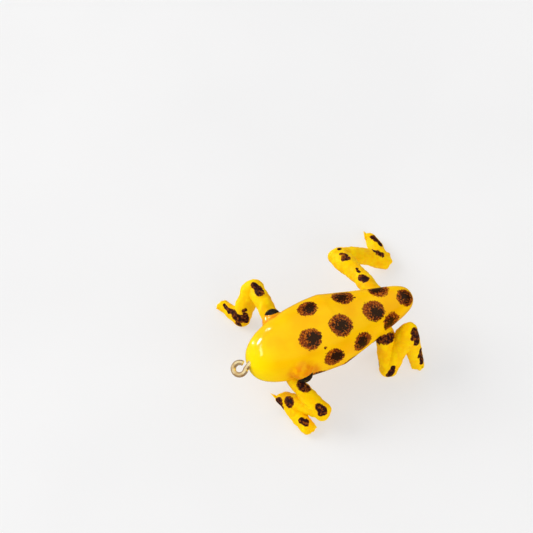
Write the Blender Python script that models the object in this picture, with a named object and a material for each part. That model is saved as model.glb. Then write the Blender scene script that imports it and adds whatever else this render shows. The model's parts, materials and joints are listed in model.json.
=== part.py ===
"""A hand-made frog fishing lure on a single hook, as the pieces it is built from.

The frog faces -Y and stands on its hands and feet at Z = 0, with its left side at +X.
The hook, its tying thread and the two leg wires go through a carved foam body, which a
belly filler closes and a clear resin coat covers. Each leg is a rubber sleeve on a soft
wire. The leg is divided where the wire bends, at the hip, knee and ankle, and each
division is a ball in a cup, so that the leg can be posed by turning it there.
Lengths are in metres. The body's middle plane is X = 0 of the frog frame, and the frog
frame is moved so that the box round the whole lure stands centred on the origin.
"""

import math

import bmesh
import bpy
from mathutils import Matrix, Vector

MM = 0.001

# Where the frog frame stands in the part's own frame.
FRAME_SHIFT = Vector((5.262, 0.062, 0.0)) * MM

# Body: an egg-shaped plug from nose to tail, widest behind the eyes.
NOSE_Y = -20.3 * MM
TAIL_Y = 20.1 * MM
WIDEST_Y = 0.0 * MM
HALF_WIDTH = 8.6 * MM
BACK_HEIGHT = 6.85 * MM
BELLY_DEPTH = 6.0 * MM
AXIS_Z = 12.6 * MM
NOSE_DROP = 2.1 * MM
TAIL_RISE = 1.8 * MM
FRONT_SHAPE = (2.2, 2.6)
REAR_TAPER = (0.68, 1.02)
TAIL_SHAPE = (16.0, 2.3)
SECTION_POWER = 2.45

# Layers of the body.
COAT_THICKNESS = 0.45 * MM
FIT_GAP = 0.12 * MM
SLOT_HALF_WIDTH = 0.9 * MM
FILLER_HALF_WIDTH = 0.75 * MM
FILLER_TOP_Z = 8.4 * MM

# Eyes: a black bead in each side of the head, partly under a resin brow. The left brow
# covers the top of its bead and the right one only the front.
BEADS = {"left": (7.95, -10.2, 12.0), "right": (-8.1, -10.6, 13.4)}
BEAD_RADIUS = 1.95 * MM
BROWS = {"left": ((6.65, -10.35, 12.75), 2.3), "right": ((-7.5, -10.7, 13.0), 2.4)}

# Hook: round wire with a ringed eye, a straight shank and a round bend.
WIRE_RADIUS = 0.63 * MM
SHANK_Z = 12.0 * MM
EYE_CENTRE_Y = -22.65 * MM
EYE_RADIUS = 1.43 * MM
EYE_START, EYE_END = 36.0, 332.0
EYE_TWIST = math.radians(15.0)
EYE_DOWNTURN = math.radians(19.0)
EYE_NECK_Y = -19.6 * MM
BEND_RADIUS = 5.2 * MM
BEND_CENTRE_Y = 8.6 * MM
POINT_Y = 2.2 * MM
POINT_RISE = 1.1 * MM
POINT_TAPER = 2.4 * MM
BARB_Y = 5.3 * MM
BARB_LENGTH = 1.3 * MM
BARB_RADIUS = 0.32 * MM
HOOK_CLEARANCE = 0.15 * MM

# Tying thread round the shank.
THREAD_START_Y, THREAD_END_Y = -17.0 * MM, 7.0 * MM
THREAD_BORE = 0.71 * MM
THREAD_RADIUS = 0.83 * MM

# Leg wires and the holes they lie in.
LEG_WIRE_RADIUS = 0.25 * MM
LEG_BORE_RADIUS = 0.36 * MM
CROSS_BORE_RADIUS = 0.45 * MM
JOINT_GAP = 0.12 * MM

# Each leg: the places of its hip, knee, ankle and tip, the radii of its hip ball, knee
# ball, ankle ball and tip, the radii half way along its three segments, and how far the
# knee and the ankle can close from rest, in degrees.
LEGS = {
    "left_front": dict(
        segments=("upper_arm", "forearm", "hand"),
        joints=((6.3, -12.1, 8.8), (14.8, -8.9, 5.8), (6.5, -14.0, 1.8), (14.8, -12.5, 1.15)),
        balls=(1.55, 1.85, 1.9, 1.35),
        middles=(1.75, 1.75, 1.85),
        closing=(0.0, 0.0),
    ),
    "right_front": dict(
        segments=("upper_arm", "forearm", "hand"),
        joints=((-7.0, -9.8, 9.3), (-19.4, -9.85, 9.65), (-17.9, -13.7, 1.5), (-23.1, -16.0, 1.0)),
        balls=(1.55, 1.9, 1.8, 1.2),
        middles=(1.95, 2.25, 1.6),
        closing=(25.0, 20.0),
    ),
    "left_hind": dict(
        segments=("thigh", "shin", "foot"),
        joints=((4.2, 11.4, 11.2), (8.1, 10.8, 1.5), (7.4, 16.0, 12.0), (9.4, 17.4, 0.6)),
        balls=(1.55, 2.2, 2.15, 1.5),
        middles=(2.1, 1.9, 1.8),
        closing=(0.0, 0.0),
    ),
    "right_hind": dict(
        segments=("thigh", "shin", "foot"),
        joints=((-3.6, 13.9, 11.9), (-20.2, 11.45, 8.3), (-19.3, 22.3, 1.6), (-26.3, 22.8, 1.0)),
        balls=(1.75, 2.0, 1.95, 1.0),
        middles=(2.35, 1.95, 1.8),
        closing=(25.0, 20.0),
    ),
}
HIP_NECK = 0.68
HIP_NECK_LENGTH = 1.9 * MM
HINGE_SLACK = math.radians(2.0)
TUBE_FIT = 0.97

SIDES = 12
FINE = 28


def clear_scene():
    for obj in list(bpy.data.objects):
        bpy.data.objects.remove(obj)


def principled(name, colour, roughness, metallic=0.0, coat=0.0):
    material = bpy.data.materials.new(name)
    material.use_nodes = True
    shader = material.node_tree.nodes["Principled BSDF"]
    shader.inputs["Base Color"].default_value = (*colour, 1.0)
    shader.inputs["Roughness"].default_value = roughness
    shader.inputs["Metallic"].default_value = metallic
    shader.inputs["Coat Weight"].default_value = coat
    return material


def materials():
    return {
        "painted_resin": principled("painted_resin", (0.98, 0.55, 0.0), 0.12, coat=1.0),
        "sleeve_rubber": principled("sleeve_rubber", (0.98, 0.62, 0.0), 0.4),
        "foam": principled("foam", (0.95, 0.85, 0.35), 0.9),
        "filler": principled("filler", (0.85, 0.78, 0.55), 0.6),
        "hook_steel": principled("hook_steel", (0.62, 0.52, 0.40), 0.25, metallic=1.0),
        "soft_wire": principled("soft_wire", (0.65, 0.62, 0.58), 0.35, metallic=1.0),
        "thread": principled("thread", (0.90, 0.75, 0.10), 0.8),
        "bead_black": principled("bead_black", (0.01, 0.01, 0.012), 0.05, coat=1.0),
    }


def empty(name, location, parent=None):
    obj = bpy.data.objects.new(name, None)
    bpy.context.scene.collection.objects.link(obj)
    obj.empty_display_size = 2 * MM
    obj.location = location
    obj.parent = parent
    return obj


def add_object(name, data, parent, material=None):
    obj = bpy.data.objects.new(name, data)
    bpy.context.scene.collection.objects.link(obj)
    obj.parent = parent
    if material is None:
        obj.hide_render = True
        obj.display_type = "WIRE"
    else:
        data.materials.append(material)
    return obj


def finish_mesh(name, bm):
    bmesh.ops.recalc_face_normals(bm, faces=bm.faces)
    mesh = bpy.data.meshes.new(name)
    bm.to_mesh(mesh)
    bm.free()
    mesh.shade_smooth()
    mesh.set_sharp_from_angle(angle=math.radians(40))
    return mesh


def boolean(obj, operation, *others):
    for other in others:
        modifier = obj.modifiers.new(f"{operation.lower()}_{other.name}", "BOOLEAN")
        modifier.operation = operation
        modifier.object = other
        modifier.solver = "EXACT"


def lofted(name, rings, first_pole, last_pole):
    """A closed skin over rings of points, with a single point past each end."""
    bm = bmesh.new()
    loops = [[bm.verts.new(point) for point in ring] for ring in rings]
    ends = (bm.verts.new(first_pole), bm.verts.new(last_pole))
    count = len(rings[0])
    for near, far in zip(loops, loops[1:]):
        for i in range(count):
            bm.faces.new((near[i], near[(i + 1) % count], far[(i + 1) % count], far[i]))
    for loop, pole in zip((loops[0], loops[-1]), ends):
        for i in range(count):
            bm.faces.new((loop[i], loop[(i + 1) % count], pole))
    return finish_mesh(name, bm)


def turned(name, profile, frame, cuts=(), sides=SIDES):
    """A profile of (distance along, radius) turned about a line, then cut by planes."""
    bm = bmesh.new()
    rings = []
    for along, radius in profile:
        ring = []
        for i in range(sides):
            angle = 2 * math.pi * i / sides
            ring.append(bm.verts.new(frame @ Vector((radius * math.cos(angle), radius * math.sin(angle), along))))
        rings.append(ring)
    for near, far in zip(rings, rings[1:]):
        for i in range(sides):
            bm.faces.new((near[i], near[(i + 1) % sides], far[(i + 1) % sides], far[i]))
    bm.faces.new(rings[0])
    bm.faces.new(rings[-1])
    bmesh.ops.recalc_face_normals(bm, faces=bm.faces)
    for point, keep_side in cuts:
        geometry = bm.verts[:] + bm.edges[:] + bm.faces[:]
        cut = bmesh.ops.bisect_plane(
            bm, geom=geometry, dist=1e-7, plane_co=point, plane_no=keep_side, clear_inner=True
        )
        edges = [item for item in cut["geom_cut"] if isinstance(item, bmesh.types.BMEdge)]
        bmesh.ops.holes_fill(bm, edges=edges)
    return finish_mesh(name, bm)


def along_z(start, end):
    """The frame whose origin is start and whose Z axis points at end."""
    turn = (end - start).to_track_quat("Z", "Y").to_matrix().to_4x4()
    return Matrix.Translation(start) @ turn


def cylinder(name, start, end, radius, sides=SIDES):
    length = (end - start).length
    return turned(name, ((0.0, radius), (length, radius)), along_z(start, end), sides=sides)


def ball(name, centre, radius, sides=SIDES):
    bm = bmesh.new()
    bmesh.ops.create_uvsphere(bm, u_segments=sides, v_segments=sides // 2 + 1, radius=radius)
    bmesh.ops.translate(bm, verts=bm.verts, vec=centre)
    return finish_mesh(name, bm)


def box(name, low, high):
    bm = bmesh.new()
    bmesh.ops.create_cube(bm, size=1.0)
    centre, size = (low + high) / 2, high - low
    for vert in bm.verts:
        vert.co = centre + Vector(a * b for a, b in zip(vert.co, size))
    return finish_mesh(name, bm)


def wire_curve(name, points, radius, shares=None, resolution=2):
    """A round wire through points; shares thins it at each point."""
    curve = bpy.data.curves.new(name, "CURVE")
    curve.dimensions = "3D"
    curve.bevel_depth = radius
    curve.bevel_resolution = resolution
    curve.use_fill_caps = True
    spline = curve.splines.new("POLY")
    spline.points.add(len(points) - 1)
    for i, (spot, point) in enumerate(zip(spline.points, points)):
        spot.co = (*point, 1.0)
        spot.radius = shares[i] if shares else 1.0
    return curve


# The body's shape.


def fullness(y, inset):
    """1 at the widest place, falling to 0 at the nose and at the tail."""
    if y < WIDEST_Y:
        share = (WIDEST_Y - y) / (WIDEST_Y - NOSE_Y - inset)
        power, roundness = FRONT_SHAPE
        return max(0.0, 1.0 - share**power) ** (1.0 / roundness)
    share = (y - WIDEST_Y) / (TAIL_Y - inset - WIDEST_Y)
    loss, taper_power = REAR_TAPER
    power, roundness = TAIL_SHAPE
    return (1.0 - loss * share**taper_power) * max(0.0, 1.0 - share**power) ** (1.0 / roundness)


def axis_height(y):
    if y < WIDEST_Y:
        return AXIS_Z - NOSE_DROP * ((WIDEST_Y - y) / (WIDEST_Y - NOSE_Y)) ** 2
    return AXIS_Z + TAIL_RISE * ((y - WIDEST_Y) / (TAIL_Y - WIDEST_Y)) ** 1.5


def signed_power(value, power):
    return math.copysign(abs(value) ** power, value)


def body_skin(name, inset, stations, sides):
    """The body's surface, moved inwards by inset."""
    nose, tail = NOSE_Y + inset, TAIL_Y - inset
    rings = []
    for k in range(1, stations):
        y = nose + (tail - nose) * (1 - math.cos(math.pi * k / stations)) / 2
        full = fullness(y, inset)
        ring = []
        for i in range(sides):
            angle = 2 * math.pi * (i + 0.5) / sides
            across = signed_power(math.cos(angle), 2 / SECTION_POWER)
            up = signed_power(math.sin(angle), 2 / SECTION_POWER)
            height = BACK_HEIGHT if up > 0 else BELLY_DEPTH
            ring.append(
                Vector(
                    (
                        (HALF_WIDTH - inset) * full * across,
                        y,
                        axis_height(y) + (height - inset) * full * up,
                    )
                )
            )
        rings.append(ring)
    poles = [Vector((0.0, y, axis_height(y))) for y in (nose, tail)]
    return lofted(name, rings, *poles)


# The hook's line.


def eye_points(steps):
    """The ringed eye from its open end round to the neck, twisted and turned down a little."""
    hinge = Vector((0.0, EYE_NECK_Y, SHANK_Z))
    turn = Matrix.Rotation(EYE_DOWNTURN, 4, "X") @ Matrix.Rotation(EYE_TWIST, 4, "Y")
    points = []
    for k in range(steps + 1):
        angle = math.radians(EYE_END + (EYE_START - EYE_END) * k / steps)
        flat = Vector((EYE_RADIUS * math.sin(angle), EYE_CENTRE_Y + EYE_RADIUS * math.cos(angle), SHANK_Z))
        points.append(hinge + turn @ (flat - hinge))
    return points


def bend_points(steps):
    centre = Vector((0.0, BEND_CENTRE_Y, SHANK_Z - BEND_RADIUS))
    points = []
    for k in range(steps + 1):
        angle = math.pi * k / steps
        points.append(centre + BEND_RADIUS * Vector((0.0, math.sin(angle), math.cos(angle))))
    return points


def hook_line():
    """Points along the hook's wire and the share of its full radius at each."""
    low_z = SHANK_Z - 2 * BEND_RADIUS
    point = Vector((0.0, POINT_Y, low_z + POINT_RISE))
    spear_start = Vector((0.0, BEND_CENTRE_Y, low_z))
    taper_start = point + (spear_start - point).normalized() * POINT_TAPER
    shank = [Vector((0.0, y, SHANK_Z)) for y in (EYE_NECK_Y, -6.0 * MM, 6.0 * MM)]
    round_part = eye_points(18) + shank + bend_points(16)
    tapering = [taper_start, taper_start.lerp(point, 0.6), point]
    return round_part + tapering, [1.0] * (len(round_part) + 1) + [0.62, 0.08]


def make_hook(parent, material):
    points, shares = hook_line()
    swept = add_object("hook_sweep", wire_curve("hook_sweep", points, WIRE_RADIUS, shares), parent)
    bpy.context.view_layer.update()
    graph = bpy.context.evaluated_depsgraph_get()
    mesh = bpy.data.meshes.new_from_object(swept.evaluated_get(graph))
    bpy.data.objects.remove(swept)
    bm = bmesh.new()
    bm.from_mesh(mesh)
    bmesh.ops.remove_doubles(bm, verts=bm.verts, dist=1e-6)
    hook = add_object("hook", finish_mesh("hook", bm), parent, material)
    low_z = SHANK_Z - 2 * BEND_RADIUS
    root = Vector((0.0, BARB_Y - 0.5 * BARB_LENGTH, low_z + 0.35 * POINT_RISE))
    tip = Vector((0.0, BARB_Y + 0.5 * BARB_LENGTH, low_z + WIRE_RADIUS + 0.75 * MM))
    profile = ((0.0, BARB_RADIUS), ((tip - root).length, 0.03 * MM))
    barb = add_object("barb_shape", turned("barb_shape", profile, along_z(root, tip), sides=6), parent)
    boolean(hook, "UNION", barb)
    return hook


# The legs.


def leg_joints(leg):
    return [Vector(point) * MM for point in leg["joints"]]


def bend_cut(pivot, own_far, other_far, closing):
    """The plane that keeps one segment on its own side of a bend, with room to close."""
    own = (own_far - pivot).normalized()
    other = (other_far - pivot).normalized()
    axis = own.cross(other).normalized()
    half = own.angle(other) / 2
    slack = math.radians(closing) / 2 + HINGE_SLACK
    edge = Matrix.Rotation(half - slack, 3, axis) @ own
    keep_side = edge.cross(axis)
    if keep_side.dot(own) < 0:
        keep_side.negate()
    return pivot, keep_side


def sleeve_profile(length, start, middle, end, hip, tip):
    """Distance along and radius of a sleeve, necked at a hip and rounded past a tip."""
    profile = [(0.0, start)]
    if hip:
        profile.append((HIP_NECK_LENGTH, start))
    profile += [(0.32 * length, 0.3 * start + 0.7 * middle), (0.5 * length, middle)]
    if not tip:
        return profile + [(0.8 * length, 0.5 * (middle + end)), (length, end)]
    return profile + [
        (0.82 * length, 0.35 * middle + 0.65 * end),
        (length, end),
        (length + 0.55 * end, 0.75 * end),
        (length + 0.8 * end, 0.3 * end),
    ]


def make_leg(side_name, leg, frame, looks, ground):
    joints = leg_joints(leg)
    balls = [radius * MM for radius in leg["balls"]]
    middles = [radius * MM for radius in leg["middles"]]
    holder, held_at = frame, Vector()
    for k, segment in enumerate(leg["segments"]):
        name = f"{side_name}_{segment}"
        start, end = joints[k], joints[k + 1]
        length = (end - start).length
        holder = empty(f"{name}_pivot", start - held_at, holder)
        held_at = start
        here = Matrix.Translation(-start)

        last = k == 2
        start_radius = balls[k] * (HIP_NECK if k == 0 else TUBE_FIT)
        end_radius = balls[k + 1] * (1 if last else TUBE_FIT)
        profile = sleeve_profile(length, start_radius, middles[k], end_radius, k == 0, last)
        cuts = []
        if k > 0:
            cuts.append(bend_cut(Vector(), end - start, joints[k - 1] - start, leg["closing"][k - 1]))
        if not last:
            cuts.append(bend_cut(end - start, Vector(), joints[k + 2] - start, leg["closing"][k]))
        direction = along_z(Vector(), end - start)
        sleeve = add_object(name, turned(name, profile, direction, cuts), holder, looks["sleeve_rubber"])
        knob = add_object(f"{name}_knob", ball(f"{name}_knob", Vector(), balls[k]), holder)
        boolean(sleeve, "UNION", knob)
        if not last:
            cup_radius = balls[k + 1] + JOINT_GAP
            cup = add_object(f"{name}_cup", ball(f"{name}_cup", end - start, cup_radius), holder)
            boolean(sleeve, "DIFFERENCE", cup)
        ray = (end - start).normalized()
        wire_start = ray * 0.5 * MM
        wire_end = ray * (length - (1.6 * MM if last else balls[k + 1] + 1.0 * MM))
        bore_mesh = cylinder(f"{name}_bore", -ray * 3 * MM, wire_end + ray * 0.3 * MM, LEG_BORE_RADIUS, 8)
        bore = add_object(f"{name}_bore", bore_mesh, holder)
        boolean(sleeve, "DIFFERENCE", bore)
        boolean(sleeve, "DIFFERENCE", ground)
        wire = wire_curve(f"{name}_wire", [wire_start, wire_end], LEG_WIRE_RADIUS)
        add_object(f"{name}_wire", wire, holder, looks["soft_wire"])


# The body's pieces.


def body_cutters(frame):
    """What the body makes room for: the leg balls, the beads, the hook and the leg wires."""
    sockets = []
    for side_name, leg in LEGS.items():
        centre = leg_joints(leg)[0]
        radius = leg["balls"][0] * MM + JOINT_GAP
        name = f"{side_name}_socket"
        sockets.append(add_object(name, ball(name, centre, radius, 16), frame))
    beads = []
    for side_name, centre in BEADS.items():
        name = f"{side_name}_bead_seat"
        seat = ball(name, Vector(centre) * MM, BEAD_RADIUS + FIT_GAP, 16)
        beads.append(add_object(name, seat, frame))
    points, _ = hook_line()
    inside = [point for point in points if point.y > EYE_NECK_Y - 0.5 * MM and point.z > 6 * MM]
    inside.insert(0, eye_points(1)[-1])
    tunnel = wire_curve("hook_tunnel", inside, WIRE_RADIUS + HOOK_CLEARANCE)
    tunnel_curve = add_object("hook_tunnel_line", tunnel, frame)
    bpy.context.view_layer.update()
    graph = bpy.context.evaluated_depsgraph_get()
    bm = bmesh.new()
    bm.from_mesh(bpy.data.meshes.new_from_object(tunnel_curve.evaluated_get(graph)))
    bmesh.ops.remove_doubles(bm, verts=bm.verts, dist=1e-6)
    bpy.data.objects.remove(tunnel_curve)
    hook_tunnel = add_object("hook_tunnel", finish_mesh("hook_tunnel", bm), frame)
    return sockets, beads, hook_tunnel


def make_body(frame, looks):
    sockets, beads, hook_tunnel = body_cutters(frame)

    coat = add_object("resin_coat", body_skin("resin_coat", 0.0, 22, FINE), frame, looks["painted_resin"])
    for side_name, (centre, radius) in BROWS.items():
        name = f"{side_name}_brow"
        brow = ball(name, Vector(centre) * MM, radius * MM, 16)
        boolean(coat, "UNION", add_object(name, brow, frame))
    hollow = add_object("coat_hollow", body_skin("coat_hollow", COAT_THICKNESS, 16, 20), frame)
    boolean(coat, "DIFFERENCE", hollow, hook_tunnel, *sockets, *beads)

    core_inset = COAT_THICKNESS + FIT_GAP + 0.05 * MM
    core = add_object("foam_core", body_skin("foam_core", core_inset, 16, 20), frame, looks["foam"])
    slot_low = Vector((-SLOT_HALF_WIDTH, NOSE_Y - 1.0 * MM, 0.0))
    slot_high = Vector((SLOT_HALF_WIDTH, BEND_CENTRE_Y + BEND_RADIUS + 1.0 * MM, SHANK_Z + THREAD_RADIUS + FIT_GAP))
    slot = add_object("belly_slot", box("belly_slot", slot_low, slot_high), frame)
    boolean(core, "DIFFERENCE", slot, *sockets, *beads)

    filler_low = Vector((-FILLER_HALF_WIDTH, NOSE_Y + 2.2 * MM, 0.0))
    filler_high = Vector((FILLER_HALF_WIDTH, BEND_CENTRE_Y + 0.6 * MM, FILLER_TOP_Z))
    filler = add_object("belly_filler", box("belly_filler", filler_low, filler_high), frame, looks["filler"])
    filler_limit = add_object("filler_limit", body_skin("filler_limit", core_inset, 16, 20), frame)
    boolean(filler, "INTERSECT", filler_limit)

    for pair in ("front", "hind"):
        ends = [leg_joints(LEGS[f"{side}_{pair}"])[0] for side in ("left", "right")]
        reach = (ends[1] - ends[0]).normalized()
        bore_mesh = cylinder(f"{pair}_cross_bore", ends[0], ends[1], CROSS_BORE_RADIUS, 10)
        boolean(core, "DIFFERENCE", add_object(f"{pair}_cross_bore", bore_mesh, frame))
        margins = [LEGS[f"{side}_{pair}"]["balls"][0] * MM + JOINT_GAP + 0.4 * MM for side in ("left", "right")]
        span = [ends[0] + reach * margins[0], ends[1] - reach * margins[1]]
        wire = wire_curve(f"{pair}_cross_wire", span, LEG_WIRE_RADIUS)
        add_object(f"{pair}_leg_wire", wire, frame, looks["soft_wire"])

    thread_profile = [(THREAD_START_Y, THREAD_BORE), (THREAD_START_Y, THREAD_RADIUS)]
    thread_profile += [(THREAD_END_Y, THREAD_RADIUS), (THREAD_END_Y, THREAD_BORE)]
    add_object("tying_thread", thread_tube(thread_profile), frame, looks["thread"])

    for side_name, centre in BEADS.items():
        name = f"{side_name}_eye"
        bead = ball(name, Vector(centre) * MM, BEAD_RADIUS, 16)
        add_object(name, bead, frame, looks["bead_black"])


def thread_tube(profile):
    """The thread's windings as one thin tube round the shank."""
    bm = bmesh.new()
    corners = [bm.verts.new((0.0, y, SHANK_Z + radius)) for y, radius in profile]
    edges = [bm.edges.new((corners[i], corners[(i + 1) % 4])) for i in range(4)]
    bmesh.ops.spin(
        bm,
        geom=corners + edges,
        cent=(0.0, 0.0, SHANK_Z),
        axis=(0.0, 1.0, 0.0),
        angle=2 * math.pi,
        steps=14,
        use_merge=True,
    )
    bmesh.ops.remove_doubles(bm, verts=bm.verts, dist=1e-7)
    return finish_mesh("tying_thread", bm)


def main():
    clear_scene()
    looks = materials()
    frame = empty("frog_frame", FRAME_SHIFT)
    below = box("ground", Vector((-60, -60, -20)) * MM, Vector((60, 60, 0)) * MM)
    ground = add_object("ground", below, None)
    make_hook(frame, looks["hook_steel"])
    make_body(frame, looks)
    for side_name, leg in LEGS.items():
        make_leg(side_name, leg, frame, looks, ground)


main()
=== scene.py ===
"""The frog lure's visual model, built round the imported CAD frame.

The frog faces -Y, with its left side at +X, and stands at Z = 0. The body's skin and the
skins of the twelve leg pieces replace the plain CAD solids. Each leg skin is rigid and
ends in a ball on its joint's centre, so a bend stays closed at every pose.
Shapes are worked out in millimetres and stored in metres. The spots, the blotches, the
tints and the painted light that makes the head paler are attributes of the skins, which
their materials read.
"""

import json
import math

import bpy
import numpy as np
from mathutils import Matrix, Vector, noise


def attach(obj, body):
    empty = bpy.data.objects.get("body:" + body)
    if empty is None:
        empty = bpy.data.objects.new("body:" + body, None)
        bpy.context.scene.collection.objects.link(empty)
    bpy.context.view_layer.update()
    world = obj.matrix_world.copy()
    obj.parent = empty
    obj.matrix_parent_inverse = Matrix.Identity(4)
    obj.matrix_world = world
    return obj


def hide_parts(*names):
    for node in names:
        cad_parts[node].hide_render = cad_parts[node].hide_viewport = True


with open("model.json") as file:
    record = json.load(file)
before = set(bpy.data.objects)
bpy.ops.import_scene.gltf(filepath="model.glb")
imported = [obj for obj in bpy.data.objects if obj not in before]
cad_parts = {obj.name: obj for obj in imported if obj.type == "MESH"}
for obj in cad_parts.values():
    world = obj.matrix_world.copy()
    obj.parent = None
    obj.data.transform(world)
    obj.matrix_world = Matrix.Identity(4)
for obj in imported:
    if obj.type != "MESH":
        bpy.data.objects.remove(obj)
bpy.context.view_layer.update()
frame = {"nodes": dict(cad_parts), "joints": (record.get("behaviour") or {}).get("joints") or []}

MM = 0.001
JOINTS = {joint["name"]: np.array(joint["pos_m"]) / MM for joint in frame["joints"]}
# Where the frog's own frame stands: its left shoulder is at a known place in it.
SHIFT = JOINTS["left_front_shoulder"] - (6.3, -12.1, 8.8)

# The body's form, as the coat's solid has it, in the frog's own frame.
NOSE_Y, TAIL_Y, WIDEST_Y = -20.3, 20.1, 0.0
HALF_WIDTH, BACK_HEIGHT, BELLY_DEPTH = 8.6, 6.85, 6.0
AXIS_Z, NOSE_DROP, TAIL_RISE = 12.6, 2.1, 1.8
FRONT_SHAPE, REAR_TAPER, TAIL_SHAPE = (2.2, 2.6), (0.68, 1.02), (16.0, 2.3)
SECTION_POWER = 2.45
# The eyes, and the mounds they sit in: centre and radius. Left comes first.
BEADS = (np.array((7.95, -10.2, 12.0)), np.array((-8.1, -10.6, 13.4)))
BROWS = ((np.array((7.05, -10.4, 12.75)), 2.45), (np.array((-7.3, -10.9, 12.8)), 2.45))
BROW_BLEND = 1.0


# Noise and small helpers.


def smooth_step(low, high, value):
    share = np.clip((value - low) / (high - low), 0.0, 1.0)
    return share * share * (3 - 2 * share)


def rough(point, size, seed):
    """Smooth noise from about -1 to 1 with features of the given size, in mm."""
    return noise.noise(Vector(point) / size + Vector((seed, 1.7 * seed, -seed)))


def waves(point, layers):
    """The sum of several noises, each given by its height, its size and its seed."""
    return sum(height * rough(point, size, seed) for height, size, seed in layers)


def frog(x, y, z):
    """A point of the frog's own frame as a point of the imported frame, both in mm."""
    return np.array((x, y, z), float) + SHIFT


# The body.


def fullness(y):
    """How wide and deep the body is at y, as a share of its widest section."""
    if y < WIDEST_Y:
        share = (WIDEST_Y - y) / (WIDEST_Y - NOSE_Y)
        power, roundness = FRONT_SHAPE
        return max(0.0, 1.0 - share**power) ** (1.0 / roundness)
    share = (y - WIDEST_Y) / (TAIL_Y - WIDEST_Y)
    loss, taper_power = REAR_TAPER
    power, roundness = TAIL_SHAPE
    return (1.0 - loss * share**taper_power) * max(0.0, 1.0 - share**power) ** (1.0 / roundness)


def axis_height(y):
    """The height of the body's middle line at y."""
    if y < WIDEST_Y:
        return AXIS_Z - NOSE_DROP * ((WIDEST_Y - y) / (WIDEST_Y - NOSE_Y)) ** 2
    return AXIS_Z + TAIL_RISE * ((y - WIDEST_Y) / (TAIL_Y - WIDEST_Y)) ** 1.5


def body_point(y, angle):
    """A point of the plain body, at an angle round its axis from the left side upwards."""
    full = fullness(y)
    across, up = math.cos(angle), math.sin(angle)
    across = math.copysign(abs(across) ** (2 / SECTION_POWER), across)
    up = math.copysign(abs(up) ** (2 / SECTION_POWER), up)
    height = BACK_HEIGHT if up > 0 else BELLY_DEPTH
    return np.array((HALF_WIDTH * full * across, y, axis_height(y) + height * full * up))


# What keeps body_depth steady at the body's two ends, in mm and as a share.
END_MARGIN, LEAST_FULLNESS = 0.05, 0.05


def body_depth(point):
    """About how far outside the plain body a point is, negative inside."""
    x, y, z = point
    y = min(max(y, NOSE_Y + END_MARGIN), TAIL_Y - END_MARGIN)
    full = max(fullness(y), LEAST_FULLNESS)
    rise = z - axis_height(y)
    height = (BACK_HEIGHT if rise > 0 else BELLY_DEPTH) * full
    width = HALF_WIDTH * full
    total = abs(x / width) ** SECTION_POWER + abs(rise / height) ** SECTION_POWER
    ratio = total ** (1 / SECTION_POWER)
    return math.hypot(x, rise) * (1 - 1 / max(ratio, 1e-3))


def smooth_union(a, b, blend):
    """The smaller of two depths, rounded off where they are nearly equal."""
    share = max(0.0, min(1.0, 0.5 + 0.5 * (b - a) / blend))
    return b + (a - b) * share - blend * share * (1 - share)


def skin_depth(point):
    """The body joined smoothly with its two brows."""
    depth = body_depth(point)
    for centre, radius in BROWS:
        depth = smooth_union(depth, float(np.linalg.norm(point - centre)) - radius, BROW_BLEND)
    return depth


# How far from a brow the body stays plain, in mm, and how a point is walked to the skin.
BROW_REACH = 3.0
WALK_STEPS, WALK_PACE = 14, 0.8


def grow_to_skin(point, normal):
    """Moves a point of the plain body outwards until it lies on the joined form."""
    if min(np.linalg.norm(point - centre) - radius for centre, radius in BROWS) > BROW_REACH:
        return point
    out = point.copy()
    for _ in range(WALK_STEPS):
        out = out - normal * skin_depth(out) * WALK_PACE
    return out


def add_object(name, data):
    obj = bpy.data.objects.new(name, data)
    bpy.context.scene.collection.objects.link(obj)
    return obj


def mesh_object(name, points, faces, material):
    """A smooth mesh from points in mm."""
    mesh = bpy.data.meshes.new(name)
    mesh.from_pydata([tuple(p) for p in np.asarray(points) * MM], [], faces)
    mesh.update()
    mesh.shade_smooth()
    mesh.materials.append(material)
    return add_object(name, mesh)


def grid_faces(rows, columns):
    """Quads between rings of points, with a fan to one pole at each end."""
    faces = []
    for i in range(rows - 1):
        for j in range(columns):
            k = (j + 1) % columns
            ring, following = i * columns, (i + 1) * columns
            faces.append((ring + j, ring + k, following + k, following + j))
    first, last = rows * columns, rows * columns + 1
    for j in range(columns):
        k = (j + 1) % columns
        faces.append((first, k, j))
        faces.append((last, (rows - 1) * columns + j, (rows - 1) * columns + k))
    return faces


def attribute(obj, name, values):
    """One number at each of a mesh's points, for its material to read."""
    layer = obj.data.attributes.new(name, "FLOAT", "POINT")
    layer.data.foreach_set("value", np.asarray(values, np.float32))


BODY_ROWS, BODY_COLUMNS = 176, 168
# How far the first and last rings stand from the poles, as a share of a step.
POLE_STEP = 0.6
# How uneven the hand-carved body is: height and size in mm, and the seed of the noise.
BODY_WAVES = ((0.10, 7.0, 3.0), (0.035, 2.6, 8.0))


def body_row_y(i):
    """Where a ring of the body's mesh stands: rings are closer together near both ends."""
    steps = BODY_ROWS - 1 + 2 * POLE_STEP
    share = (1 - math.cos(math.pi * (i + POLE_STEP) / steps)) / 2
    return NOSE_Y + (TAIL_Y - NOSE_Y) * share


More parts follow.
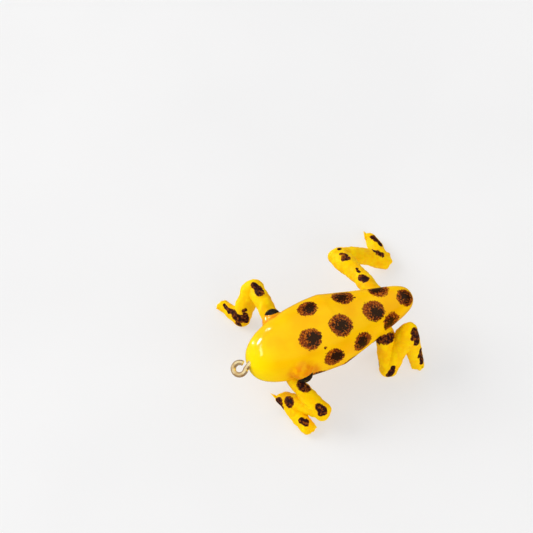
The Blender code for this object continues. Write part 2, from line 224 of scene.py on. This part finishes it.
def body_mesh(material):
    """The body's skin, and its points in the frog's own frame."""
    ys = [body_row_y(i) for i in range(BODY_ROWS)]
    angles = [2 * math.pi * j / BODY_COLUMNS for j in range(BODY_COLUMNS)]
    grid = np.array([[body_point(y, a) for a in angles] for y in ys])
    along = np.gradient(grid, axis=0)
    around = np.roll(grid, -1, axis=1) - np.roll(grid, 1, axis=1)
    normals = np.cross(around, along)
    normals /= np.linalg.norm(normals, axis=2, keepdims=True) + 1e-12
    centres = np.array([(0.0, y, axis_height(y)) for y in ys])[:, None, :]
    if ((grid - centres) * normals).sum() < 0:
        normals = -normals
    points = []
    for i in range(BODY_ROWS):
        for j in range(BODY_COLUMNS):
            point = grow_to_skin(grid[i, j], normals[i, j])
            points.append(point + normals[i, j] * waves(point, BODY_WAVES))
    points.append(np.array((0.0, NOSE_Y, axis_height(NOSE_Y))))
    points.append(np.array((0.0, TAIL_Y, axis_height(TAIL_Y))))
    points = np.array(points)
    obj = mesh_object("body_skin", points + SHIFT, grid_faces(BODY_ROWS, BODY_COLUMNS), material)
    return obj, points


# Spots. Each has a darker core a little off its centre.

# Place along the body, degrees from the top towards the left side, and radius.
BODY_SPOTS = (
    (-6.9, 23, 2.6), (0.9, 21, 2.75), (9.5, 18, 2.6), (17.9, 20, 2.15),
    (-4.2, -21, 2.35), (4.5, -26, 2.5), (13.1, -31, 2.4),
    (-3.0, 77, 2.4), (4.6, 77, 2.45), (12.8, 79, 2.3),
    (-5.4, -76, 2.0), (0.9, -79, 2.3), (9.2, -80, 2.1), (16.2, -86, 1.6),
    (-6.8, 116, 2.0), (1.0, 118, 2.2), (9.0, 128, 1.9),
    (-3.4, -122, 2.2), (4.8, -126, 2.1), (12.6, -130, 1.8),
    (-11.2, 158, 2.0), (-2.6, 164, 2.2), (17.0, 150, 1.5),
    (-4.5, 49, 0.35), (7.0, -17, 0.3),
)


# A spot's core: its share of the spot's radius, how far it drifts off the middle, and the
# size and seeds of the noise that says where to.
CORE_SIZE, CORE_DRIFT = 0.55, 0.5
DRIFT_SIZE, DRIFT_SEEDS = 0.9, (11.0, 23.0, 37.0)
# The share of a radius that stands for a place far from every spot.
FAR = 3.0


def spot_fields(points, spots):
    """At each point, the distance from the nearest spot and core, as shares of their radii.

    A spot is the line between two places with a radius round it, or one place given twice.
    """
    disc, core = np.full(len(points), FAR), np.full(len(points), FAR)
    for start, end, radius in spots:
        start, end = np.asarray(start, float), np.asarray(end, float)
        line = end - start
        share = np.clip((points - start) @ line / max(line @ line, 1e-9), 0.0, 1.0)
        offset = points - start - share[:, None] * line
        drift = np.array([rough(start, DRIFT_SIZE, seed) for seed in DRIFT_SEEDS])
        drift = drift * CORE_DRIFT * radius
        disc = np.minimum(disc, np.linalg.norm(offset, axis=1) / radius)
        core = np.minimum(core, np.linalg.norm(offset - drift, axis=1) / (CORE_SIZE * radius))
    return disc, core


def add_spots(obj, points, spots):
    for name, values in zip(("spot", "core"), spot_fields(points, spots)):
        attribute(obj, name, values)


# Legs.

# A cut end, as shares of its radius: how far past the end each ring stands, and its radius.
TIP_RINGS = ((0.0, 1.0), (0.22, 0.99), (0.34, 0.92), (0.40, 0.78), (0.41, 0.5), (0.40, 0.22))
BALL_RINGS = 9
RING_SPACING, FEWEST_RINGS = 0.26, 16


def limb_profile(length, start, middle, end, tip):
    """Distances along a limb and its radius there: a ball at each end, or a blunt cut at a tip."""
    rows = []
    for k in range(1, BALL_RINGS + 1):
        angle = math.pi / 2 * k / BALL_RINGS
        rows.append((-start * math.cos(angle), start * math.sin(angle)))
    body_rows = max(FEWEST_RINGS, int(length / RING_SPACING))
    for k in range(1, body_rows):
        share = k / body_rows
        if share < 0.5:
            radius = start + (middle - start) * float(smooth_step(0.0, 0.5, share))
        else:
            radius = middle + (end - middle) * float(smooth_step(0.5, 1.0, share))
        rows.append((length * share, radius))
    if tip:
        rows += [(length + past * end, size * end) for past, size in TIP_RINGS]
    else:
        for k in range(BALL_RINGS):
            angle = math.pi / 2 * k / BALL_RINGS
            rows.append((length + end * math.sin(angle), end * math.cos(angle)))
    return rows


LIMB_COLUMNS = 48
# How far past a ball's last ring its pole stands, as a share of its radius.
POLE_GAP = 0.02
# A limb whose axis has a larger Z than this is upright.
UPRIGHT = 0.9
# How uneven the rubber is, and how ragged its cut ends are: height, size and seed.
SLEEVE_WAVES = ((0.24, 2.6, 5.0), (0.16, 1.0, 9.0), (0.06, 0.45, 2.0))
TIP_TEARS = ((0.7, 0.9, 14.0),)


def limb_points(start, end, radii, tip, bow, lumps):
    """One leg piece's skin: a tube from ball to ball, bowed sideways, with raised lumps."""
    axis = end - start
    length = float(np.linalg.norm(axis))
    axis = axis / length
    side = np.cross(axis, (0.0, 0.0, 1.0) if abs(axis[2]) < UPRIGHT else (0.0, 1.0, 0.0))
    side /= np.linalg.norm(side)
    other = np.cross(axis, side)
    profile = limb_profile(length, *radii, tip)
    points = []
    for along, radius in profile:
        share = min(max(along / length, 0.0), 1.0)
        centre = start + axis * along + np.array(bow) * math.sin(math.pi * share)
        for j in range(LIMB_COLUMNS):
            angle = 2 * math.pi * j / LIMB_COLUMNS
            outward = side * math.cos(angle) + other * math.sin(angle)
            point = centre + outward * radius
            ragged = waves(point, TIP_TEARS) if tip and along >= length else 0.0
            points.append(point + outward * waves(point, SLEEVE_WAVES) + axis * ragged)
    first_pole = profile[0][0] - POLE_GAP * radii[0]
    last_pole = profile[-1][0] + (0.0 if tip else POLE_GAP * radii[2])
    points += [start + axis * first_pole, start + axis * last_pole]
    points = np.array(points)
    spine = start + np.clip((points - start) @ axis, 0, length)[:, None] * axis
    outward = points - spine
    outward /= np.linalg.norm(outward, axis=1)[:, None] + 1e-9
    for centre, height, width in lumps:
        near = np.exp(-((np.linalg.norm(points - centre, axis=1) / width) ** 2))
        points += outward * (near * height)[:, None]
    return points, grid_faces(len(profile), LIMB_COLUMNS)


WISP_ROWS, WISP_COLUMNS = 7, 10
WISP_BEND, WISP_TAPER, WISP_BULGE, WISP_FLATNESS = 0.18, 0.92, 0.3, 0.6
WISP_LEAN = (0.3, 0.5, 0.8)


def wisp_points(root, tip, radius):
    """A thin pointed shred of rubber, curved a little."""
    axis = tip - root
    side = np.cross(axis, WISP_LEAN)
    side /= np.linalg.norm(side)
    other = np.cross(axis, side) / np.linalg.norm(axis)
    points = []
    for i in range(WISP_ROWS):
        share = i / (WISP_ROWS - 1)
        arch = math.sin(math.pi * share)
        centre = root + axis * share + side * WISP_BEND * radius * arch
        width = radius * (1 - WISP_TAPER * share) * (1 + WISP_BULGE * arch)
        for j in range(WISP_COLUMNS):
            angle = 2 * math.pi * j / WISP_COLUMNS
            outward = side * math.cos(angle) + WISP_FLATNESS * other * math.sin(angle)
            points.append(centre + outward * width)
    points += [root, tip]
    return np.array(points), grid_faces(WISP_ROWS, WISP_COLUMNS)


def leg_skin(name, parts, material):
    """Joins (points, faces) parts into one piece standing on or above the floor."""
    points, faces = [], []
    for part_points, part_faces in parts:
        faces += [tuple(k + len(points) for k in face) for face in part_faces]
        points += list(part_points)
    points = np.array(points)
    points[:, 2] = np.maximum(points[:, 2], 0.0)
    return mesh_object(name, points, faces, material), points


# The looks.


class Wires:
    """Short ways to add and join shader nodes."""

    def __init__(self, tree):
        self.tree = tree

    def node(self, kind, **settings):
        node = self.tree.nodes.new(kind)
        for key, value in settings.items():
            setattr(node, key, value)
        return node

    def link(self, source, target):
        self.tree.links.new(source, target)

    def value(self, name):
        """One of the mesh's attributes."""
        node = self.node("ShaderNodeAttribute", attribute_name=name)
        return node.outputs["Fac"]

    def noise(self, size_mm, detail, roughness=0.5):
        """Noise round 0.5 with features of the given size."""
        where = self.node("ShaderNodeTexCoord")
        node = self.node("ShaderNodeTexNoise")
        node.inputs["Scale"].default_value = 1.0 / (size_mm * MM)
        node.inputs["Detail"].default_value = detail
        node.inputs["Roughness"].default_value = roughness
        self.link(where.outputs["Object"], node.inputs["Vector"])
        return node.outputs["Fac"]

    def math(self, operation, a, b):
        """A sum on two values, each a number or a socket."""
        node = self.node("ShaderNodeMath", operation=operation)
        for socket, item in zip(node.inputs, (a, b)):
            if isinstance(item, float):
                socket.default_value = item
            else:
                self.link(item, socket)
        return node.outputs[0]

    def ramp(self, source, low, high, to_low=0.0, to_high=1.0):
        """Goes smoothly from to_low where the source is low to to_high where it is high."""
        node = self.node("ShaderNodeMapRange", interpolation_type="SMOOTHSTEP")
        node.inputs["From Min"].default_value = low
        node.inputs["From Max"].default_value = high
        node.inputs["To Min"].default_value = to_low
        node.inputs["To Max"].default_value = to_high
        self.link(source, node.inputs["Value"])
        return node.outputs["Result"]

    def mix(self, share, a, b):
        """A colour between a and b, each a plain colour or a socket."""
        node = self.node("ShaderNodeMix", data_type="RGBA")
        colours = [s for s in node.inputs if s.type == "RGBA"]
        factor = [s for s in node.inputs if s.type == "VALUE"][0]
        self.link(share, factor)
        for socket, item in ((colours[0], a), (colours[1], b)):
            if isinstance(item, tuple):
                socket.default_value = (*item, 1.0)
            else:
                self.link(item, socket)
        return [s for s in node.outputs if s.type == "RGBA"][0]

    def wobble(self, value, noise_value, amount):
        """A value moved up and down by a noise."""
        centred = self.math("SUBTRACT", noise_value, 0.5)
        return self.math("ADD", value, self.math("MULTIPLY", centred, amount))

    def bump(self, height, distance_mm, strength):
        node = self.node("ShaderNodeBump")
        node.inputs["Strength"].default_value = strength
        node.inputs["Distance"].default_value = distance_mm * MM
        self.link(height, node.inputs["Height"])
        return node.outputs["Normal"]


def new_material(name):
    """A material, its Principled shader, and Wires for its tree."""
    material = bpy.data.materials.new(name)
    material.use_nodes = True
    tree = material.node_tree
    return material, tree.nodes["Principled BSDF"], Wires(tree)


def set_constants(shader, **values):
    """Sets what is the same all over a surface, by the names of the shader's inputs."""
    for name, value in values.items():
        shader.inputs[name.replace("_", " ")].default_value = value


# Base colours of the paint, the spots, the rubber and the marker's stains and ink, and the
# paler yellow that paints the light falling on the head.
YELLOW = (0.97, 0.545, 0.0)
YELLOW_DEEP = (0.93, 0.45, 0.0)
# Painted light: the paler, lemon yellow of the head where the light from in front falls on it.
NOSE_PAINTED_LIGHT = (0.98, 0.68, 0.0)
LEG_YELLOW = (0.98, 0.62, 0.0)
LEG_DEEP = (0.95, 0.50, 0.0)
ORANGE_BROWN = (0.50, 0.12, 0.003)
RED_BROWN = (0.15, 0.020, 0.002)
NEAR_BLACK = (0.018, 0.004, 0.002)
BROW_ORANGE = (0.82, 0.26, 0.001)
LEG_STAIN_LIGHT, LEG_STAIN_DARK = (0.30, 0.075, 0.004), (0.075, 0.014, 0.006)
LEG_INK = (0.022, 0.006, 0.007)
# A spot's edge: size and detail of each noise that moves it, and by how much of the radius.
SPOT_EDGE = ((0.9, 3.0, 0.34), (0.34, 1.0, 0.42))
# How fast the dark dots thin out with distance from the core.
DOT_LOSS = 0.26


def speckled(w, ground):
    """Orange-brown spots over a ground colour, full of dark dots that close up into a core."""
    edge = w.value("spot")
    for size, detail, amount in SPOT_EDGE:
        edge = w.wobble(edge, w.noise(size, detail), amount)
    disc = w.ramp(edge, 1.05, 0.95)
    base = w.mix(w.ramp(w.noise(0.36, 2.0), 0.38, 0.55), ORANGE_BROWN, RED_BROWN)
    core = w.wobble(w.value("core"), w.noise(1.1, 2.0), 1.0)
    dots = w.math("SUBTRACT", w.noise(0.42, 2.0, 0.6), w.math("MULTIPLY", core, DOT_LOSS))
    return w.mix(disc, ground, w.mix(w.ramp(dots, 0.16, 0.23), base, NEAR_BLACK))


def body_material():
    """Yellow paint with spots and orange round the eyes, under clear resin, with painted light
    making the head paler towards the nose.
    """
    material, shader, w = new_material("painted_resin")
    ground = w.mix(w.ramp(w.noise(6.0, 3.0), 0.35, 0.7), YELLOW, YELLOW_DEEP)
    # Painted light: the head turns paler yellow towards the nose, where the light from in front
    # falls.
    ground = w.mix(w.value("nose"), ground, NOSE_PAINTED_LIGHT)
    brow = w.math("MULTIPLY", w.value("brow"), w.ramp(w.noise(1.3, 3.0), 0.3, 0.6, 0.45, 1.0))
    ground = w.mix(brow, ground, BROW_ORANGE)
    w.link(speckled(w, ground), shader.inputs["Base Color"])
    w.link(w.ramp(w.noise(2.0, 3.0), 0.3, 0.7, 0.35, 0.5), shader.inputs["Roughness"])
    set_constants(
        shader, Specular_IOR_Level=0.03, Coat_Weight=1.0, Coat_Roughness=0.03, Coat_IOR=1.3,
        Subsurface_Weight=0.12, Subsurface_Radius=(1.0, 0.5, 0.1), Subsurface_Scale=0.8 * MM,
    )
    w.link(w.bump(w.noise(3.2, 2.0), 0.08, 0.5), shader.inputs["Normal"])
    return material


def leg_material():
    """Yellow rubber with ragged brown stains, darkened by patches of nearly black ink."""
    material, shader, w = new_material("sleeve_rubber")
    ground = w.mix(w.ramp(w.noise(1.8, 4.0), 0.35, 0.68), LEG_YELLOW, LEG_DEEP)
    edge = w.wobble(w.value("spot"), w.noise(0.8, 3.0, 0.6), 0.9)
    core = w.wobble(w.value("core"), w.noise(0.6, 3.0, 0.6), 1.6)
    stain = w.mix(w.ramp(w.noise(0.5, 3.0, 0.7), 0.40, 0.60), LEG_STAIN_LIGHT, LEG_STAIN_DARK)
    ground = w.mix(w.ramp(edge, 1.12, 0.98), ground, stain)
    inner = w.math("MAXIMUM", w.ramp(edge, 0.86, 0.72), w.ramp(core, 1.6, 1.2))
    colour = w.mix(inner, ground, stain)
    ink = w.math("MULTIPLY", w.ramp(edge, 0.98, 0.82), w.ramp(core, 2.2, 1.6))
    ink = w.math("MULTIPLY", ink, w.ramp(w.noise(0.75, 3.0, 0.65), 0.40, 0.52))
    colour = w.mix(ink, colour, LEG_INK)
    w.link(colour, shader.inputs["Base Color"])
    w.link(w.ramp(w.noise(0.8, 3.0), 0.3, 0.7, 0.42, 0.6), shader.inputs["Roughness"])
    set_constants(
        shader, Specular_IOR_Level=0.05, Subsurface_Weight=0.2,
        Subsurface_Radius=(1.0, 0.55, 0.1), Subsurface_Scale=0.7 * MM,
    )
    w.link(w.bump(w.noise(0.45, 4.0, 0.6), 0.05, 0.5), shader.inputs["Normal"])
    return material


def plain_material(name, light, dark, size_mm, roughness, metallic=0.0, specular=0.5, bump_mm=0.01):
    """Two shades mixed by noise of the given size, with a range of roughness."""
    material, shader, w = new_material(name)
    w.link(w.mix(w.ramp(w.noise(size_mm, 4.0), 0.3, 0.7), light, dark), shader.inputs["Base Color"])
    w.link(w.ramp(w.noise(size_mm * 0.6, 3.0), 0.3, 0.7, *roughness), shader.inputs["Roughness"])
    set_constants(shader, Metallic=metallic, Specular_IOR_Level=specular)
    w.link(w.bump(w.noise(size_mm * 0.4, 3.0), bump_mm, 0.6), shader.inputs["Normal"])
    return material


body_look = body_material()
leg_look = leg_material()
steel_look = plain_material(
    "hook_steel", (1.0, 0.95, 0.82), (0.70, 0.52, 0.32), 1.4, (0.10, 0.20),
    metallic=0.8, bump_mm=0.004,
)
wire_look = plain_material(
    "soft_wire", (0.62, 0.60, 0.57), (0.45, 0.43, 0.40), 0.8, (0.25, 0.4), metallic=1.0
)
bead_look = plain_material(
    "bead_black", (0.004, 0.004, 0.005), (0.012, 0.010, 0.010), 1.0, (0.06, 0.1),
    specular=0.25, bump_mm=0.001,
)
foam_look = plain_material(
    "foam", (0.90, 0.80, 0.42), (0.82, 0.70, 0.33), 0.9, (0.75, 0.95), bump_mm=0.05
)
filler_look = plain_material("filler", (0.72, 0.62, 0.42), (0.62, 0.52, 0.33), 1.4, (0.4, 0.6))
thread_look = plain_material(
    "thread", (0.80, 0.58, 0.06), (0.62, 0.42, 0.03), 0.3, (0.6, 0.85), bump_mm=0.05
)

# Every solid whose name ends in _wire is soft wire.
LOOKS = {
    "hook": steel_look,
    "foam_core": foam_look,
    "belly_filler": filler_look,
    "tying_thread": thread_look,
    "left_eye": bead_look,
    "right_eye": bead_look,
}
for node_name, node in frame["nodes"].items():
    look = LOOKS.get(node_name, wire_look if node_name.endswith("_wire") else None)
    if look:
        for slot in node.material_slots:
            slot.material = look


# The body's skin.

# Where the painted light on the head, a paler yellow at the nose, fades out along the body, and the
# brows' orange round a bead.
NOSE_LIGHT_FADE, BROW_FADE = (-20.0, -13.5), (2.8, 4.6)

skin, skin_points = body_mesh(body_look)
spots = []
for y, lean, radius in BODY_SPOTS:
    place = body_point(y, math.pi / 2 - math.radians(lean))
    spots.append((place, place, radius))
add_spots(skin, skin_points, spots)
# Painted light: how much paler yellow the head is, strongest at the nose.
attribute(skin, "nose", 1.0 - smooth_step(*NOSE_LIGHT_FADE, skin_points[:, 1]))
bead_distance = np.minimum(*(np.linalg.norm(skin_points - bead, axis=1) for bead in BEADS))
attribute(skin, "brow", 1.0 - smooth_step(*BROW_FADE, bead_distance))
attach(skin, "frog_body")
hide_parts("resin_coat")


# The legs. Each piece has its first joint, its next joint or tip, the radii at its start,
# middle and end, and its sideways bow. Places are in the frog's own frame.

LEG_PIECES = (
    ("left_front_upper_arm", "shoulder", "elbow", (1.65, 1.95, 1.9), (0, -0.15, 0)),
    ("left_front_forearm", "elbow", "wrist", (2.0, 1.9, 1.85), (0, 0, 0)),
    ("left_front_hand", "wrist", (15.2, -12.4, 1.3), (1.9, 1.85, 1.6), (0, 0, 0)),
    ("right_front_upper_arm", "shoulder", "elbow", (1.9, 2.0, 1.95), (0, 0, 0.3)),
    ("right_front_forearm", "elbow", "wrist", (2.05, 2.3, 1.85), (-0.25, -0.55, 0)),
    ("right_front_hand", "wrist", (-23.4, -16.2, 1.2), (1.85, 1.6, 1.35), (0, 0, 0)),
    ("left_hind_thigh", "hip", "knee", (1.9, 2.15, 2.05), (0, 0, 0)),
    ("left_hind_shin", "knee", "ankle", (2.1, 2.0, 2.1), (0, 0, 0)),
    ("left_hind_foot", "ankle", (9.4, 17.4, 0.9), (2.15, 1.85, 1.6), (0, 0, 0)),
    ("right_hind_thigh", "hip", "knee", (1.9, 1.95, 2.1), (0, 0.15, 0.3)),
    ("right_hind_shin", "knee", "ankle", (2.1, 1.95, 1.95), (-0.3, 0.1, 0.6)),
    ("right_hind_foot", "ankle", (-26.5, 22.7, 1.3), (1.95, 1.75, 1.25), (0, 0, 0)),
)

# Lumps where the rubber is bunched at a bend or torn at an end: place, height and width.
LUMPS = {
    "left_front_forearm": (((5.2, -15.9, 2.3), 0.7, 1.2), ((16.2, -9.5, 4.7), 0.5, 1.2)),
    "left_front_hand": (((16.6, -11.2, 1.6), 0.5, 0.8),),
    "right_front_forearm": (((-20.3, -11.9, 9.4), 0.7, 1.5),),
    "left_hind_thigh": (((5.9, 13.2, 9.8), 0.6, 1.5),),
    "left_hind_shin": (((6.1, 14.2, 10.8), 0.6, 1.5),),
    "right_hind_thigh": (((-17.2, 12.0, 9.2), 0.7, 2.4), ((-21.0, 9.6, 8.8), 0.3, 1.1)),
    "right_hind_shin": (
        ((-21.0, 9.4, 7.8), 0.4, 1.0), ((-19.9, 24.2, 2.7), 0.6, 0.7),
        ((-18.4, 23.9, 1.4), 0.5, 0.55), ((-18.0, 22.5, 0.9), 0.6, 0.6),
    ),
}

# Shreds of rubber: root, tip and radius.
WISPS = {
    "left_front_forearm": (((5.6, -15.7, 2.3), (4.0, -16.7, 2.8), 0.45),),
    "right_hind_foot": (((-26.5, 21.8, 1.5), (-28.0, 21.6, 2.5), 0.7),),
}

# Marker blotches: the two ends of a stroke, and its radius.
LEG_BLOTCHES = (
    # Right front leg.
    ((-19.0, -10.2, 11.4), (-17.7, -9.9, 11.5), 0.8),
    ((-17.7, -9.9, 11.5), (-16.4, -9.9, 11.5), 1.05),
    ((-22.6, -16.1, 2.2), (-20.5, -15.8, 2.5), 0.45),
    ((-20.5, -15.8, 2.5), (-18.4, -14.6, 4.3), 0.6),
    ((-18.4, -14.6, 4.3), (-17.1, -13.3, 6.1), 0.5),
    ((-16.9, -13.4, 5.0), (-16.3, -13.3, 2.7), 0.6),
    ((-18.4, -15.1, 2.9), (-16.9, -14.3, 3.4), 1.2),
    ((-17.1, -15.2, 1.5), (-16.8, -14.9, 1.4), 0.65),
    # Left front leg.
    ((8.8, -11.3, 9.3), (9.8, -10.7, 9.2), 1.2),
    ((14.6, -9.7, 7.6), (15.9, -9.3, 7.1), 0.9),
    ((15.7, -8.9, 7.4), (15.9, -9.8, 6.8), 0.75),
    ((8.3, -14.2, 4.0), (8.8, -14.1, 3.8), 1.15),
    ((6.6, -15.7, 2.5), (7.5, -15.7, 1.7), 1.0),
    ((13.5, -13.3, 2.7), (14.8, -12.8, 2.5), 0.75),
    ((14.3, -12.8, 2.9), (14.3, -12.8, 2.9), 0.8),
    # Right hind leg.
    ((-9.2, 12.9, 13.0), (-10.1, 12.5, 12.8), 0.95),
    ((-13.0, 12.7, 12.3), (-13.0, 12.7, 12.3), 0.4),
    ((-11.9, 12.7, 12.5), (-12.3, 12.5, 12.4), 0.35),
    ((-17.3, 11.4, 11.2), (-16.8, 12.2, 11.3), 0.75),
    ((-18.9, 11.5, 10.8), (-17.9, 12.4, 11.0), 0.55),
    ((-20.8, 12.0, 10.2), (-20.8, 12.0, 10.2), 0.55),
    ((-25.5, 22.8, 2.3), (-24.0, 23.2, 2.6), 0.75),
    ((-24.0, 23.2, 2.6), (-22.7, 23.5, 2.8), 0.55),
    ((-20.0, 21.0, 4.9), (-19.6, 21.9, 4.5), 1.15),
    ((-20.9, 21.8, 3.6), (-20.9, 21.8, 3.6), 0.6),
    # Left hind leg.
    ((4.9, 10.2, 9.8), (5.9, 11.4, 10.6), 1.5),
    ((9.8, 11.1, 4.0), (10.1, 10.7, 2.6), 0.55),
    ((9.9, 10.8, 2.6), (9.9, 10.1, 1.6), 0.8),
    ((6.9, 8.9, 2.8), (6.9, 8.9, 2.2), 0.5),
    ((8.8, 16.8, 13.3), (9.4, 16.4, 12.4), 1.1),
    ((8.9, 17.5, 12.2), (9.5, 17.1, 10.3), 1.15),
    ((9.8, 17.9, 6.6), (10.2, 18.0, 4.0), 0.6),
    ((10.2, 17.4, 5.8), (10.2, 17.3, 5.2), 0.55),
    ((10.2, 18.1, 4.0), (10.4, 18.0, 2.8), 0.75),
)

blotches = [(frog(*start), frog(*end), radius) for start, end, radius in LEG_BLOTCHES]
for name, first, last, radii, bow in LEG_PIECES:
    leg = "_".join(name.split("_")[:2])
    is_tip = not isinstance(last, str)
    near_end = JOINTS[f"{leg}_{first}"]
    far_end = frog(*last) if is_tip else JOINTS[f"{leg}_{last}"]
    lumps = [(frog(*place), height, width) for place, height, width in LUMPS.get(name, ())]
    parts = [limb_points(near_end, far_end, radii, is_tip, bow, lumps)]
    for root, tip, radius in WISPS.get(name, ()):
        parts.append(wisp_points(frog(*root), frog(*tip), radius))
    piece, piece_points = leg_skin(name + "_skin", parts, leg_look)
    add_spots(piece, piece_points, blotches)
    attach(piece, name)
    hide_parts(name)


# Floor, camera, lights and room.

# The floor glows a little, so shadows on it stay light. In the gloss it shows as a dim warm glow.
FLOOR_HALF, FLOOR_DROP = 1600.0, 0.1
PAPER_LIGHT, PAPER_DARK = (0.37, 0.37, 0.375), (0.35, 0.35, 0.355)
FLOOR_GLOW = (0.51, 0.51, 0.51)
PAPER_IN_GLOSS, GLOW_IN_GLOSS = (0.03, 0.03, 0.03), (0.25, 0.14, 0.012)


def floor():
    material, shader, w = new_material("paper_white")
    paper = w.mix(w.ramp(w.noise(60.0, 2.0), 0.3, 0.7), PAPER_LIGHT, PAPER_DARK)
    gloss = w.node("ShaderNodeLightPath").outputs["Is Glossy Ray"]
    w.link(w.mix(gloss, paper, PAPER_IN_GLOSS), shader.inputs["Base Color"])
    w.link(w.mix(gloss, FLOOR_GLOW, GLOW_IN_GLOSS), shader.inputs["Emission Color"])
    set_constants(shader, Emission_Strength=1.0, Specular_IOR_Level=0.1, Roughness=0.7)
    half, low = FLOOR_HALF, -FLOOR_DROP
    corners = [(-half, -half, low), (half, -half, low), (half, half, low), (-half, half, low)]
    mesh_object("floor", corners, [(0, 1, 2, 3)], material)


# What the lights are aimed at, in the frog's own frame.
HEAD = (0.0, -12.0, 12.0)


def area_light(name, azimuth, elevation, distance, wide, high, power, colour=(1.0, 1.0, 1.0)):
    """A panel aimed at the frog's head, with its sides level. Degrees, metres and watts."""
    a, e = math.radians(azimuth), math.radians(elevation)
    toward = Vector((math.cos(a) * math.cos(e), math.sin(a) * math.cos(e), math.sin(e)))
    data = bpy.data.lights.new(name, "AREA")
    data.shape = "RECTANGLE"
    data.size, data.size_y = wide, high
    data.energy = power
    data.color = colour
    obj = add_object(name, data)
    obj.location = Vector(SHIFT * MM) + Vector(HEAD) * MM + toward * distance
    obj.rotation_euler = (-toward).to_track_quat("-Z", "Y").to_euler()
    return obj


# Where the camera looks from, the width it takes in at the frog's distance, its lens, and
# how far its aim stands from the origin of the frog's own frame, in mm.
VIEW_AZIMUTH, VIEW_ELEVATION = math.radians(65.4), math.radians(55.0)
VIEW_WIDTH, LENS, SENSOR = 120.991, 300.0, 36.0
AIM_RIGHT, AIM_UP = -14.41, 21.50


def camera():
    a, e = VIEW_AZIMUTH, VIEW_ELEVATION
    right = Vector((math.cos(a), math.sin(a), 0.0))
    back = Vector((math.sin(a) * math.cos(e), -math.cos(a) * math.cos(e), math.sin(e)))
    up = back.cross(right)
    aim = Vector(SHIFT * MM) + (right * AIM_RIGHT + up * AIM_UP) * MM
    data = bpy.data.cameras.new("camera")
    data.lens, data.sensor_width = LENS, SENSOR
    data.clip_start, data.clip_end = 0.01, 10.0
    distance = VIEW_WIDTH * MM * LENS / SENSOR
    turn = Matrix((right, up, back)).transposed().to_4x4()
    obj = add_object("camera", data)
    obj.matrix_world = Matrix.Translation(aim + back * distance) @ turn
    bpy.context.scene.camera = obj


# The room is brightest near the horizon. In the gloss it is a pale ceiling over a dark horizon.
ROOM_HORIZON, ROOM_TOP = (0.82, 0.815, 0.81), (0.52, 0.518, 0.515)
GLOSS_HORIZON, GLOSS_CEILING = (0.20, 0.105, 0.014), (0.85, 0.72, 0.40)
CEILING_EDGE = (0.45, 0.80)


def room():
    world = bpy.data.worlds.new("world")
    world.use_nodes = True
    w = Wires(world.node_tree)
    gloss = w.node("ShaderNodeLightPath").outputs["Is Glossy Ray"]
    direction = w.node("ShaderNodeSeparateXYZ")
    w.link(w.node("ShaderNodeTexCoord").outputs["Generated"], direction.inputs[0])
    height = direction.outputs["Z"]
    seen = w.mix(w.ramp(height, *CEILING_EDGE), GLOSS_HORIZON, GLOSS_CEILING)
    lit = w.mix(w.ramp(height, 0.0, 1.0), ROOM_HORIZON, ROOM_TOP)
    w.link(w.mix(gloss, lit, seen), world.node_tree.nodes["Background"].inputs["Color"])
    bpy.context.scene.world = world


# Two broad soft panels, and the panes of a window that are seen only in reflections.
# Azimuth, elevation, distance, width, height, power and colour.
PANELS = {
    "key": (-135, 32, 1.2, 0.9, 0.9, 11.2, (1.0, 0.995, 0.98)),
    "fill": (10, 25, 1.0, 0.7, 0.7, 3.4),
}
# Azimuth, elevation, width, height and power.
PANES = (
    (-143, 22, 0.088, 0.034, 0.65),
    (-123, 30, 0.160, 0.042, 0.22),
    (-149, 1, 0.030, 0.024, 0.22),
    (-164, 18, 0.022, 0.026, 0.07),
)
WINDOW_DISTANCE = 0.45

floor()
camera()
for name, settings in PANELS.items():
    area_light(name, *settings).visible_glossy = False
for k, (azimuth, elevation, wide, high, power) in enumerate(PANES):
    pane = area_light(f"pane_{k}", azimuth, elevation, WINDOW_DISTANCE, wide, high, power)
    pane.visible_diffuse = False
room()
bpy.context.scene.view_settings.view_transform = "Standard"
